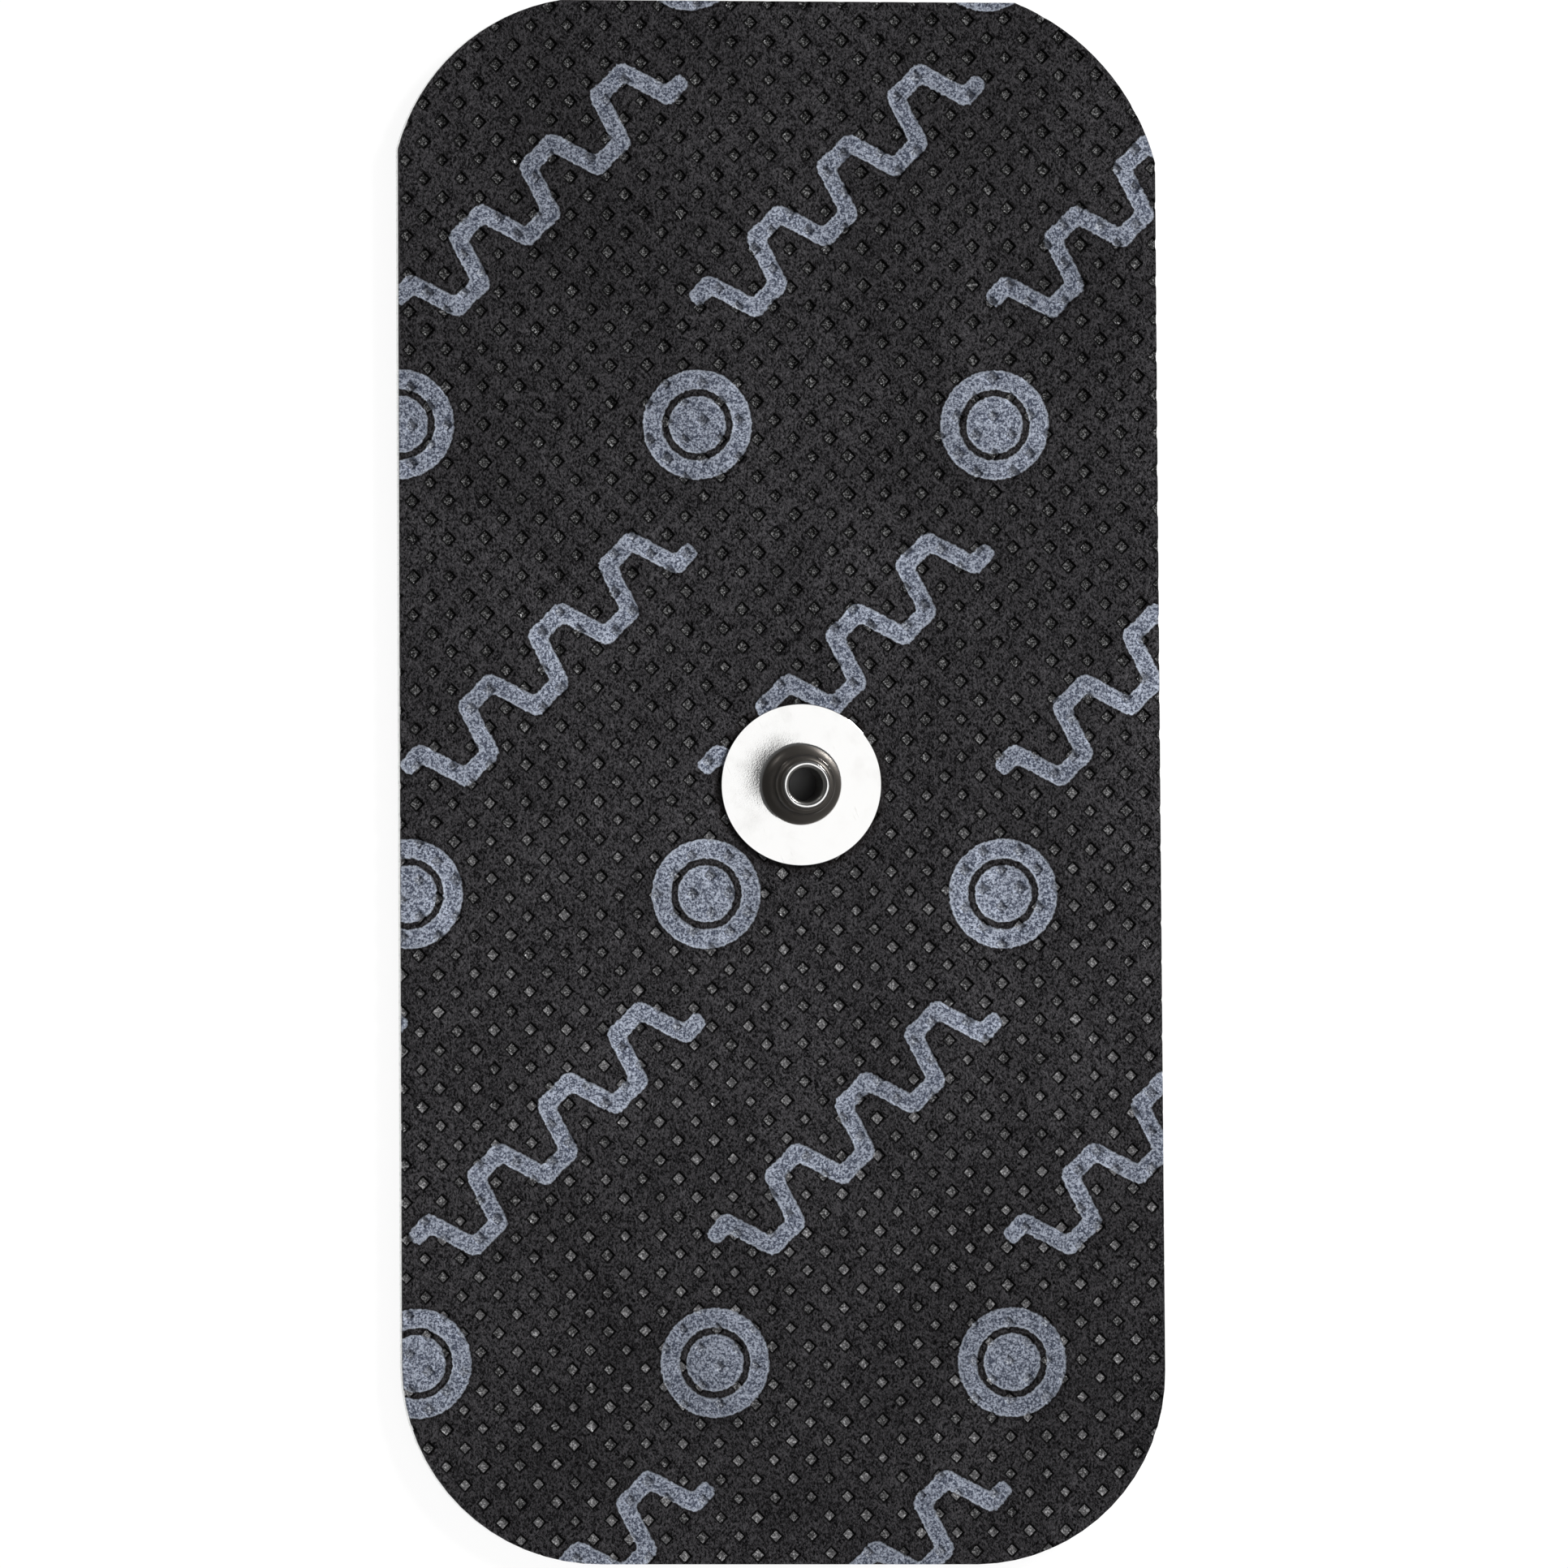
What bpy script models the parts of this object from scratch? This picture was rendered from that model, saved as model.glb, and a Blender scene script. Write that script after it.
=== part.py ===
"""Self-adhesive snap electrode pad for a nerve and muscle stimulator.

The pad lies as it would on a table, skin side down. +Z points up out of the snap stud, +Y runs
along the pad and the origin is the middle of the gel's underside. Lengths are in metres.
"""

import math

import bmesh
import bpy
from mathutils import Matrix, Vector

MM = 0.001

# Die-cut outline, seen from the stud's side. One stroke cuts every layer.
PAD_LENGTH = 100.0 * MM
PAD_WIDTH = 49.05 * MM  # at half the length
END_FLARE = 0.25 * MM  # how much wider the bottom end is, and narrower the top end
SIDE_LEAN = 0.60 * MM  # the bottom end sits this far to the right of the top end
END_DROP = 0.17 * MM  # each end falls this far from its left corner to its right one

# Each corner: its curve's reach along the end and along the side, and how far the curve turns.
# At 90 degrees it runs smoothly into both edges, and below that it leaves a slight kink.
BOTTOM_RIGHT = (12.2 * MM, 12.4 * MM, 90.0)
TOP_RIGHT = (9.0 * MM, 10.2 * MM, 53.0)
TOP_LEFT = (10.5 * MM, 9.6 * MM, 66.0)
BOTTOM_LEFT = (12.8 * MM, 12.6 * MM, 90.0)
CORNER_STEPS = 16

# Layers, from the skin up
GEL_THICKNESS = 0.90 * MM
FILM_THICKNESS = 0.10 * MM
CLOTH_THICKNESS = 0.50 * MM  # where the cloth swells between its bond points
GLUE_LINE = 0.02 * MM  # thin coat of adhesive between two layers, left open

# Bond points of the nonwoven cloth: rows across the pad, every other row set over by half a step
BOND_STEP_ACROSS = 2.35 * MM
BOND_STEP_ALONG = 2.42 * MM
BOND_DEPTH = 0.20 * MM
BOND_TURN = 1.0  # degrees anticlockwise
BOND_START = Vector((-0.08 * MM, -0.98 * MM))  # one bond point, from the pad's middle

# Snap eyelet, a drawn tube with a flange, pushed up through the layers and rolled over the stud
SNAP_X = 1.17 * MM
SNAP_Y = -0.13 * MM
EYELET_SHEET = 0.20 * MM
EYELET_BORE_RADIUS = 1.065 * MM
EYELET_BEND = 0.35 * MM
EYELET_ROLL = 0.30 * MM
EYELET_ROLL_END = 30.0  # degrees short of a half turn, where the rolled lip stops
EYELET_FLANGE_RADIUS = 4.0 * MM

# Snap stud, drawn from sheet: a flange, a hollow neck and a head with an open top
STUD_SHEET = 0.25 * MM
STUD_FLANGE_RADIUS = 5.18 * MM
STUD_FOOT = 1.05 * MM  # radius of the curve from the flange up into the neck
STUD_HEIGHT = 2.0 * MM  # from the flange's top to the head's top
HEAD_BULGE = 0.25 * MM  # how far the head stands out past the neck
HEAD_ROUND = 0.45 * MM
HEAD_UNDERCUT = 40.0  # degrees that the head's round turns back under itself

# Insulating disc that keeps the eyelet off the gel
COVER_THICKNESS = 0.10 * MM
COVER_BORDER = 2.0 * MM  # how far it reaches past the eyelet's flange
COVER_RAMP = 0.25 * MM  # width of the step where it drapes over the flange's edge

# Clearances
SEAT_GAP = 0.02 * MM  # between two pieces that press on each other
TUBE_PLAY = 0.05 * MM  # round the eyelet in the stud's open top and in the layers' holes
NECK_ROOM = 0.185 * MM  # round the eyelet's tube inside the stud's neck
EDGE_BREAK = 0.04 * MM  # small flat on the sheet metal's cut edges

ROUND_SIDES = 40
ARC_STEPS = 4

# Heights of the layers and of the two flanges
FILM_BOTTOM = GEL_THICKNESS + GLUE_LINE
CLOTH_BOTTOM = FILM_BOTTOM + FILM_THICKNESS + GLUE_LINE
CLOTH_TOP = CLOTH_BOTTOM + CLOTH_THICKNESS
STUD_BOTTOM = CLOTH_TOP + SEAT_GAP
EYELET_BOTTOM = FILM_BOTTOM - SEAT_GAP - EYELET_SHEET

TUBE_RADIUS = EYELET_BORE_RADIUS + EYELET_SHEET
STUD_MOUTH = TUBE_RADIUS + TUBE_PLAY
LAYER_HOLE = EYELET_BORE_RADIUS + max(EYELET_BEND, EYELET_SHEET) + TUBE_PLAY
HEAD_TOP = STUD_SHEET + STUD_HEIGHT  # above the stud's underside


def clear_scene():
    for item in list(bpy.data.objects):
        bpy.data.objects.remove(item, do_unlink=True)


def material(name, color, roughness, metallic=0.0):
    made = bpy.data.materials.new(name)
    made.use_nodes = True
    shader = made.node_tree.nodes["Principled BSDF"]
    shader.inputs["Base Color"].default_value = (*color, 1.0)
    shader.inputs["Roughness"].default_value = roughness
    shader.inputs["Metallic"].default_value = metallic
    return made


def add_object(name, shape, look=None, location=(0, 0, 0)):
    """Turn a bmesh into a named object with its faces pointing out."""
    bmesh.ops.recalc_face_normals(shape, faces=shape.faces)
    mesh = bpy.data.meshes.new(name)
    shape.to_mesh(mesh)
    shape.free()
    made = bpy.data.objects.new(name, mesh)
    made.location = location
    bpy.context.scene.collection.objects.link(made)
    if look:
        mesh.materials.append(look)
    return made


def add_boolean(target, tool, operation="DIFFERENCE"):
    """Cut the target with the tool, or keep what both hold, and hide the tool."""
    cut = target.modifiers.new(tool.name, "BOOLEAN")
    cut.operation = operation
    cut.solver = "EXACT"
    cut.object = tool
    tool.hide_render = True
    tool.display_type = "WIRE"


def corner_curve(start, end, turn):
    """Points of an arc from start to end that turns left through an angle."""
    chord = end - start
    radius = chord.length / (2 * math.sin(turn / 2))
    left = Vector((-chord.y, chord.x)).normalized()
    centre = (start + end) / 2 + left * radius * math.cos(turn / 2)
    arm = start - centre
    turns = [turn * step / CORNER_STEPS for step in range(CORNER_STEPS + 1)]
    return [centre + Matrix.Rotation(part, 2) @ arm for part in turns]


def sharp_corner(side, end):
    """A corner before it is rounded: side is 1 on the right, end is 1 at the top."""
    width = PAD_WIDTH - end * END_FLARE
    x = (side * width - end * SIDE_LEAN) / 2
    y = (end * PAD_LENGTH - side * END_DROP) / 2
    return Vector((x, y))


def pad_outline():
    """The outline's points, anticlockwise, centred on its own box."""
    corners = [sharp_corner(1, -1), sharp_corner(1, 1), sharp_corner(-1, 1), sharp_corner(-1, -1)]
    curves = [BOTTOM_RIGHT, TOP_RIGHT, TOP_LEFT, BOTTOM_LEFT]
    points = []
    for index, (end_reach, side_reach, turn) in enumerate(curves):
        here = corners[index]
        arriving = (here - corners[index - 1]).normalized()
        leaving = (corners[(index + 1) % 4] - here).normalized()
        arrives_on_end = index % 2 == 0
        first, last = (end_reach, side_reach) if arrives_on_end else (side_reach, end_reach)
        start, stop = here - arriving * first, here + leaving * last
        points += corner_curve(start, stop, math.radians(turn))
    across = [point.x for point in points]
    along = [point.y for point in points]
    middle = Vector((min(across) + max(across), min(along) + max(along))) / 2
    return [point - middle for point in points]


def outline_prism(bottom, top):
    """The pad's outline as a solid between two heights."""
    shape = bmesh.new()
    rim = [shape.verts.new((point.x, point.y, bottom)) for point in pad_outline()]
    floor = shape.faces.new(rim)
    lifted = bmesh.ops.extrude_face_region(shape, geom=[floor])["geom"]
    raised = [item for item in lifted if isinstance(item, bmesh.types.BMVert)]
    bmesh.ops.translate(shape, verts=raised, vec=(0, 0, top - bottom))
    return shape


def arc(centre_r, centre_z, radius, start, end):
    """Points of a turned profile round a centre, from one angle in degrees to another."""
    centre, points = Vector((centre_r, centre_z)), []
    for step in range(ARC_STEPS + 1):
        angle = math.radians(start + (end - start) * step / ARC_STEPS)
        points.append(centre + radius * Vector((math.cos(angle), math.sin(angle))))
    return points


def right_of(path, distance):
    """The same path moved square to itself, to the right of the way that it runs."""
    ways = [(b - a).normalized() for a, b in zip(path, path[1:])]
    rights = [Vector((way.y, -way.x)) for way in ways]
    before, after = [rights[0]] + rights, rights + [rights[-1]]
    return [
        point + (one + two) * distance / (1 + one.dot(two))
        for point, one, two in zip(path, before, after)
    ]


def sheet_loop(path, thickness):
    """Closed profile of a sheet that has its metal on the right of the path."""
    loop = path + right_of(path, thickness)[::-1]
    corners = {0, len(path) - 1, len(path), len(loop) - 1}
    softened = []
    for index, point in enumerate(loop):
        if index not in corners:
            softened.append(point)
            continue
        for neighbour in (loop[index - 1], loop[(index + 1) % len(loop)]):
            softened.append(point + (neighbour - point).normalized() * EDGE_BREAK)
    return softened


def turned(profile, closed=True):
    """Spin a profile of (radius, height) points round the Z axis into a solid."""
    shape = bmesh.new()
    points = [shape.verts.new((point.x, 0, point.y)) for point in profile]
    pairs = list(zip(points, points[1:])) + ([(points[-1], points[0])] if closed else [])
    edges = [shape.edges.new(pair) for pair in pairs]
    bmesh.ops.spin(
        shape, geom=points + edges, cent=(0, 0, 0), axis=(0, 0, 1), dvec=(0, 0, 0),
        angle=2 * math.pi, steps=ROUND_SIDES, use_merge=True, use_duplicate=False,
    )
    bmesh.ops.remove_doubles(shape, verts=shape.verts, dist=0.0001 * MM)
    return shape


def smooth_round(piece):
    piece.data.shade_smooth()
    piece.data.set_sharp_from_angle(angle=math.radians(35))


def hole_cutter(name, bottom, top):
    """A drill for the eyelet's tube, a little longer than the layer that it goes through."""
    shape = bmesh.new()
    bmesh.ops.create_cone(
        shape, cap_ends=True, segments=ROUND_SIDES, radius1=LAYER_HOLE, radius2=LAYER_HOLE,
        depth=2 * (top - bottom),
    )
    return add_object(name, shape, location=(SNAP_X, SNAP_Y, (bottom + top) / 2))


def make_film():
    top = FILM_BOTTOM + FILM_THICKNESS
    look = material("carbon_film", (0.012, 0.012, 0.013), 0.45)
    film = add_object("carbon_film", outline_prism(FILM_BOTTOM, top), look)
    add_boolean(film, hole_cutter("film_hole", FILM_BOTTOM, top))
    return film


def cloth_slab():
    """A slab wider than the pad whose top dips at every bond point and swells between them."""
    column, row = BOND_STEP_ACROSS / 2, BOND_STEP_ALONG / 2
    columns = 2 * math.ceil((PAD_WIDTH + END_FLARE) / BOND_STEP_ACROSS) + 4
    rows = 2 * math.ceil(PAD_LENGTH / BOND_STEP_ALONG) + 4
    shape = bmesh.new()
    stretch = Matrix.Diagonal((columns * column, rows * row, 1, 1))
    bmesh.ops.create_grid(shape, x_segments=columns, y_segments=rows, size=0.5, matrix=stretch)
    bonds = set()
    for vert in shape.verts:
        place = round(vert.co.x / column) + round(vert.co.y / row)
        if place % 2 == 0:
            bonds.add(vert)
        vert.co.z = CLOTH_TOP - (BOND_DEPTH if vert in bonds else 0)
    for face in list(shape.faces):
        swells = [vert for vert in face.verts if vert not in bonds]
        bmesh.utils.face_split(face, *swells)
    rim = [edge for edge in shape.edges if edge.is_boundary]
    hem = bmesh.ops.extrude_edge_only(shape, edges=rim)["geom"]
    for vert in [item for item in hem if isinstance(item, bmesh.types.BMVert)]:
        vert.co.z = CLOTH_BOTTOM
    below = [edge for edge in hem if isinstance(edge, bmesh.types.BMEdge) and edge.is_boundary]
    bmesh.ops.edgeloop_fill(shape, edges=below)
    turn = Matrix.Rotation(math.radians(BOND_TURN), 4, "Z")
    bmesh.ops.transform(shape, verts=shape.verts, matrix=Matrix.Translation((*BOND_START, 0)) @ turn)
    return shape


def make_cloth():
    look = material("nonwoven_cloth", (0.030, 0.029, 0.031), 0.85)
    cloth = add_object("backing_fabric", cloth_slab(), look)
    spare = CLOTH_THICKNESS
    die = add_object("cloth_die", outline_prism(CLOTH_BOTTOM - spare, CLOTH_TOP + spare))
    add_boolean(cloth, die, "INTERSECT")
    add_boolean(cloth, hole_cutter("cloth_hole", CLOTH_BOTTOM, CLOTH_TOP))
    return cloth


def cover_path():
    """Upper side of the insulating disc, from its middle out, above the eyelet's underside."""
    step_start = EYELET_FLANGE_RADIUS + TUBE_PLAY
    step_end = step_start + COVER_RAMP
    return [
        Vector((0, -SEAT_GAP)),
        Vector((step_start, -SEAT_GAP)),
        Vector((step_end, EYELET_SHEET)),
        Vector((EYELET_FLANGE_RADIUS + COVER_BORDER, EYELET_SHEET)),
    ]


def make_cover():
    top = cover_path()
    look = material("insulating_film", (0.035, 0.035, 0.037), 0.4)
    profile = top + right_of(top, COVER_THICKNESS)[::-1]
    cover = add_object(
        "eyelet_cover", turned(profile, closed=False), look, (SNAP_X, SNAP_Y, EYELET_BOTTOM)
    )
    smooth_round(cover)
    return cover


def make_gel():
    """The gel, pressed hollow where it closes round the eyelet and its cover."""
    look = material("hydrogel", (0.62, 0.64, 0.62), 0.15)
    gel = add_object("hydrogel", outline_prism(0, GEL_THICKNESS), look)
    floor = right_of(cover_path(), COVER_THICKNESS + SEAT_GAP)
    floor[-1].x += SEAT_GAP
    above = GEL_THICKNESS
    profile = floor + [Vector((floor[-1].x, above)), Vector((0, above))]
    hollow = add_object(
        "gel_hollow", turned(profile, closed=False), location=(SNAP_X, SNAP_Y, EYELET_BOTTOM)
    )
    add_boolean(gel, hollow)
    return gel


def nickel():
    return material("nickel_plate", (0.66, 0.65, 0.62), 0.22, 1.0)


def make_eyelet():
    """Flange under the film, a tube up through everything and a lip rolled over the stud's head."""
    roll_height = STUD_BOTTOM + HEAD_TOP + SEAT_GAP - EYELET_BOTTOM
    path = [Vector((EYELET_FLANGE_RADIUS, 0))]
    path += arc(EYELET_BORE_RADIUS + EYELET_BEND, EYELET_BEND, EYELET_BEND, -90, -180)
    path += arc(EYELET_BORE_RADIUS + EYELET_ROLL, roll_height, EYELET_ROLL, 180, EYELET_ROLL_END)
    shape = turned(sheet_loop(path, EYELET_SHEET))
    eyelet = add_object("snap_eyelet", shape, nickel(), (SNAP_X, SNAP_Y, EYELET_BOTTOM))
    smooth_round(eyelet)
    return eyelet


def make_stud():
    """Head with an open top, neck, and a foot that sweeps out into the flange."""
    neck = TUBE_RADIUS + NECK_ROOM + STUD_SHEET
    head = neck + HEAD_BULGE
    path = [Vector((STUD_MOUTH, HEAD_TOP))]
    path += arc(head - HEAD_ROUND, HEAD_TOP - HEAD_ROUND, HEAD_ROUND, 90, -HEAD_UNDERCUT)
    path += arc(neck + STUD_FOOT, STUD_SHEET + STUD_FOOT, STUD_FOOT, -180, -90)
    path += [Vector((STUD_FLANGE_RADIUS, STUD_SHEET))]
    shape = turned(sheet_loop(path, STUD_SHEET))
    stud = add_object("snap_stud", shape, nickel(), (SNAP_X, SNAP_Y, STUD_BOTTOM))
    smooth_round(stud)
    return stud


def main():
    clear_scene()
    pad = bpy.data.objects.new("electrode_pad", None)
    bpy.context.scene.collection.objects.link(pad)
    for piece in (make_gel(), make_cover(), make_eyelet(), make_film(), make_cloth(), make_stud()):
        piece.parent = pad


main()
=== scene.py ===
# %% [markdown]
# # A snap electrode pad for a nerve stimulator
#
# The pad is a sandwich a millimetre and a half thick: black nonwoven cloth on top, a carbon film
# that spreads the current, and sticky gel below. A nickel-plated snap goes through all of it.
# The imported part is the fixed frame, with every layer at its true size. This file gives each
# layer its looks, and swaps the coarse cloth and the coarse snap for finely made ones.

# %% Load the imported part
import math
import random

import bmesh
import bpy
from mathutils import Matrix, Quaternion, Vector, noise


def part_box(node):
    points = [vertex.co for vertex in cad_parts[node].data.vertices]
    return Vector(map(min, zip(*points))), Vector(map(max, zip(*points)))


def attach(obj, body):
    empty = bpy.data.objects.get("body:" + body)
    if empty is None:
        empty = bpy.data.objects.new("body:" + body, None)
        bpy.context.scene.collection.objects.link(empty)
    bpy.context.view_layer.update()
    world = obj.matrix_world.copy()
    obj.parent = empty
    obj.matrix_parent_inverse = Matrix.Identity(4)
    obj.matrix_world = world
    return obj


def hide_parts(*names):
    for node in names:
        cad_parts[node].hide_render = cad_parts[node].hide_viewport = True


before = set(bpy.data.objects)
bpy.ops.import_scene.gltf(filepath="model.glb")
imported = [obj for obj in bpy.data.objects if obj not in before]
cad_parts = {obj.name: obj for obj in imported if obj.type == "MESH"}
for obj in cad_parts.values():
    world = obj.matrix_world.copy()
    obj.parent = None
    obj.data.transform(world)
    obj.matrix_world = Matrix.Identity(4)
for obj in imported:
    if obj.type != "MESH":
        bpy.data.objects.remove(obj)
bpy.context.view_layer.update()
print("pieces in the frame:", sorted(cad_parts))

# %% [markdown]
# ## Sizes that everything else is placed by
#
# A size that can be read from the frame is read, not typed again, so the looks stay on the part
# when the part changes.

# %% Levels and the snap's axis
MM = 0.001

cloth_low, cloth_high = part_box("backing_fabric")
stud_low, stud_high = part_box("snap_stud")
eyelet_low, eyelet_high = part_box("snap_eyelet")
snap_axis = ((stud_low + stud_high) / 2).to_2d()
print(f"cloth from {cloth_low.z / MM:.2f} to {cloth_high.z / MM:.2f} mm above the table")
print(f"snap's axis at {snap_axis.x / MM:.2f}, {snap_axis.y / MM:.2f} mm")

# %% [markdown]
# ## Nodes written as sums
#
# A finish is a graph of nodes, and drawn by hand it soon becomes a web of wires. Here a number
# that travels through the graph is wrapped in a small class, so that a plain Python sum adds the
# Math nodes. Every other node comes from one method that takes its type, its settings and what
# its sockets are given.


# %% A number in a graph
class Amount:
    """A number that changes over the surface. A sum on it adds a Math node."""

    def __init__(self, graph, socket):
        self.graph, self.socket = graph, socket

    def __add__(self, other):
        return self.graph.math("ADD", self, other)

    def __sub__(self, other):
        return self.graph.math("SUBTRACT", self, other)

    def __rsub__(self, other):
        return self.graph.math("SUBTRACT", other, self)

    def __mul__(self, other):
        return self.graph.math("MULTIPLY", self, other)

    def __truediv__(self, other):
        return self.graph.math("DIVIDE", self, other)

    def __pow__(self, other):
        return self.graph.math("POWER", self, other)

    def __lt__(self, other):
        return self.graph.math("LESS_THAN", self, other)

    def __abs__(self):
        return self.graph.math("ABSOLUTE", self)

    __radd__ = __add__
    __rmul__ = __mul__


# %% A graph of nodes
class Graph:
    """The nodes of one material, lamp or world."""

    def __init__(self, tree):
        self.tree = tree

    def feed(self, socket, value):
        """Link a socket to what drives it, or set it."""
        value = value.socket if isinstance(value, Amount) else value
        if isinstance(value, bpy.types.NodeSocket):
            self.tree.links.new(value, socket)
        else:
            socket.default_value = value

    def node(self, kind, settings=(), sockets=()):
        """Add a node of a type. Settings come first, because some of them change the sockets."""
        made = self.tree.nodes.new("ShaderNode" + kind)
        for name, value in dict(settings).items():
            setattr(made, name, value)
        for name, value in dict(sockets).items():
            self.feed(made.inputs[name], value)
        return made

    def math(self, operation, *values):
        made = self.node("Math", {"operation": operation}, dict(enumerate(values)))
        return Amount(self, made.outputs[0])

    def least(self, *values):
        first, *others = values
        for other in others:
            first = self.math("MINIMUM", first, other)
        return first

    def most(self, *values):
        first, *others = values
        for other in others:
            first = self.math("MAXIMUM", first, other)
        return first

    def rise(self, value, start, end, low=0.0, high=1.0):
        """From low to high as the value goes from start to end, with soft ends."""
        made = self.node(
            "MapRange",
            {"interpolation_type": "SMOOTHSTEP"},
            {"Value": value, "From Min": start, "From Max": end, "To Min": low, "To Max": high},
        )
        return Amount(self, made.outputs[0])

    def spot(self):
        """Where the surface point is on the part, in metres."""
        return self.node("TexCoord").outputs["Object"]

    def spot_mm(self):
        """The same as three numbers in millimetres."""
        parts = self.node("SeparateXYZ", (), {0: self.spot()}).outputs
        return [Amount(self, part) * (1 / MM) for part in parts]

    def spot_from_snap(self):
        """Where it is from the snap's axis, in millimetres: across, along and straight."""
        x, y, _ = self.spot_mm()
        across, along = x - snap_axis.x / MM, y - snap_axis.y / MM
        return across, along, (across * across + along * along) ** 0.5

    def laid(self, grain, turn=0.0):
        """The surface point measured in grains of a size in mm, along axes turned by degrees."""
        sockets = {
            "Vector": self.spot(),
            "Rotation": (0, 0, math.radians(turn)),
            "Scale": [side * MM for side in grain],
        }
        return self.node("Mapping", {"vector_type": "TEXTURE"}, sockets).outputs[0]

    def speckle(self, grain, turn=0.0, detail=2.0, rough=0.5, bend=0.0):
        """Random tone in grains of a size in mm, about 0.5 in the mean."""
        sockets = {
            "Vector": self.laid(grain, turn),
            "Scale": 1.0,
            "Detail": detail,
            "Roughness": rough,
            "Distortion": bend,
        }
        return Amount(self, self.node("TexNoise", (), sockets).outputs[0])

    def tone(self, factor, first, second):
        """A colour between two, by a factor."""
        ends = [(*end, 1) if isinstance(end, tuple) else end for end in (first, second)]
        sockets = {0: factor, 6: ends[0], 7: ends[1]}
        return self.node("Mix", {"data_type": "RGBA"}, sockets).outputs[2]


class Finish(Graph):
    """A material, with the values that are the same all over it set on its shader."""

    def __init__(self, name, constants):
        self.material = bpy.data.materials.new(name)
        self.material.use_nodes = True
        super().__init__(self.material.node_tree)
        self.shader = self.tree.nodes["Principled BSDF"]
        for socket, value in constants.items():
            self.shader.inputs[socket].default_value = value

    def shows(self, socket, value):
        self.feed(self.shader.inputs[socket], value)

    def relief(self, height_mm):
        """Bump of a height in mm."""
        bump = self.node("Bump", (), {"Height": height_mm * MM, "Distance": 1.0})
        self.shows("Normal", bump.outputs[0])


print("a sum such as 1 - mask now adds its own node")

# %% [markdown]
# ## From a bmesh to a piece of the pad
#
# Every new piece ends in the same way: its faces are turned outwards, it becomes an object that
# sits at the origin, it rides on the part's one body, and it stands for the coarse piece.


# %% Finish a piece
def add_piece(name, shape, looks, node, sharp):
    """Make a piece from a bmesh, in place of one piece of the frame.

    Edges that turn by more than the angle sharp, in degrees, stay sharp.
    """
    bmesh.ops.recalc_face_normals(shape, faces=shape.faces)
    mesh = bpy.data.meshes.new(name)
    shape.to_mesh(mesh)
    shape.free()
    mesh.shade_smooth()
    mesh.set_sharp_from_angle(angle=math.radians(sharp))
    for look in looks:
        mesh.materials.append(look.material)
    piece = bpy.data.objects.new(name, mesh)
    bpy.context.scene.collection.objects.link(piece)
    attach(piece, "root")
    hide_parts(node)
    triangles = sum(len(face.vertices) - 2 for face in mesh.polygons)
    print(f"{name}: {triangles} triangles in place of {node}")
    return piece


# %% [markdown]
# ## The cloth's bond points
#
# Spunbond cloth is a mat of loose fibres that a hot roller welds at small diamond-shaped points.
# Each weld is a pit with a glossy, crumpled floor, and the fibres swell softly round it. The pits
# lie in rows, and every other row is set over by half a step, so a line from one pit to the next
# runs at about 45 degrees. A diamond's sides run the same way. In a grid that is laid along those
# two directions every pit is a plain square, and seven lines to a step are enough: three make the
# crumpled floor, two the top of its walls, and two the rounded lip round it.

# %% The lattice of bond points
BOND_ACROSS = 2.35 * MM
BOND_ALONG = 2.42 * MM
BOND_TURN = math.radians(1.0)
BOND_START = Vector((-0.08 * MM, -0.98 * MM))

turned = Matrix.Rotation(BOND_TURN, 2)
up_right = turned @ Vector((BOND_ACROSS, BOND_ALONG)) / 2
down_right = turned @ Vector((BOND_ACROSS, -BOND_ALONG)) / 2

# Lines of one step, as shares of it, and how many lines each lies out from the pit's middle
CELL_LINES = (-0.250, -0.208, -0.150, 0.0, 0.150, 0.208, 0.250)
LINES_OUT = (3, 2, 1, 0, 1, 2, 3)
PIT_DEPTHS = (0.27 * MM, 0.22 * MM, 0.035 * MM, 0.0)
PIT_CORNER = 0.015 * MM  # depth at a wall's corner, which rounds the diamond off
CELLS_OUT = 32  # steps from the middle to the grid's rim, enough to reach past the pad's corners
BOND_MARKS = (1.0, 1.0, 0.35, 0.0)  # how much of each line is weld
print(f"a pit every {up_right.length / MM:.2f} mm along the diagonals")


# %% [markdown]
# No two welds are alike, because the fibres under them differ. Each pit gets its own depth, size,
# place and a crumpled floor, all drawn from one seeded source, so every run makes the same cloth.
# The roller pressed harder towards one end, so the pits get shallower down the pad.

# %% How one pit differs from the next
FLOOR_CRUMPLE = 0.05 * MM
PIT_WANDER = 0.035 * MM
PIT_DEPTH_SHARES = (0.6, 1.2)
PIT_SIZE_SHARES = (0.88, 1.1)
PRESS_LEAN = 0.35  # how much deeper than the mean the pits are at the pad's top end
SWELL = 0.012 * MM
SWELL_LENGTH = 6 * MM
PIT_SEED = 11


class Pit:
    """What one bond point has of its own."""

    def __init__(self, draw, middle):
        self.depth = draw.uniform(*PIT_DEPTH_SHARES) * (1 + PRESS_LEAN * middle.y / cloth_high.y)
        self.size = draw.uniform(*PIT_SIZE_SHARES)
        self.shift = Vector((draw.uniform(-1, 1), draw.uniform(-1, 1))) * PIT_WANDER
        self.floor = [draw.uniform(-1, 1) * FLOOR_CRUMPLE for _ in range(9)]

    def drop(self, out_u, out_v, inner):
        """How far a point of the pit lies below the cloth's swell."""
        if out_u == out_v == 2:
            return PIT_CORNER * self.depth
        ring = max(out_u, out_v)
        drop = PIT_DEPTHS[ring] * self.depth
        return drop if ring > 1 else drop + self.floor[3 * (inner[0] - 2) + inner[1] - 2]


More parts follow.
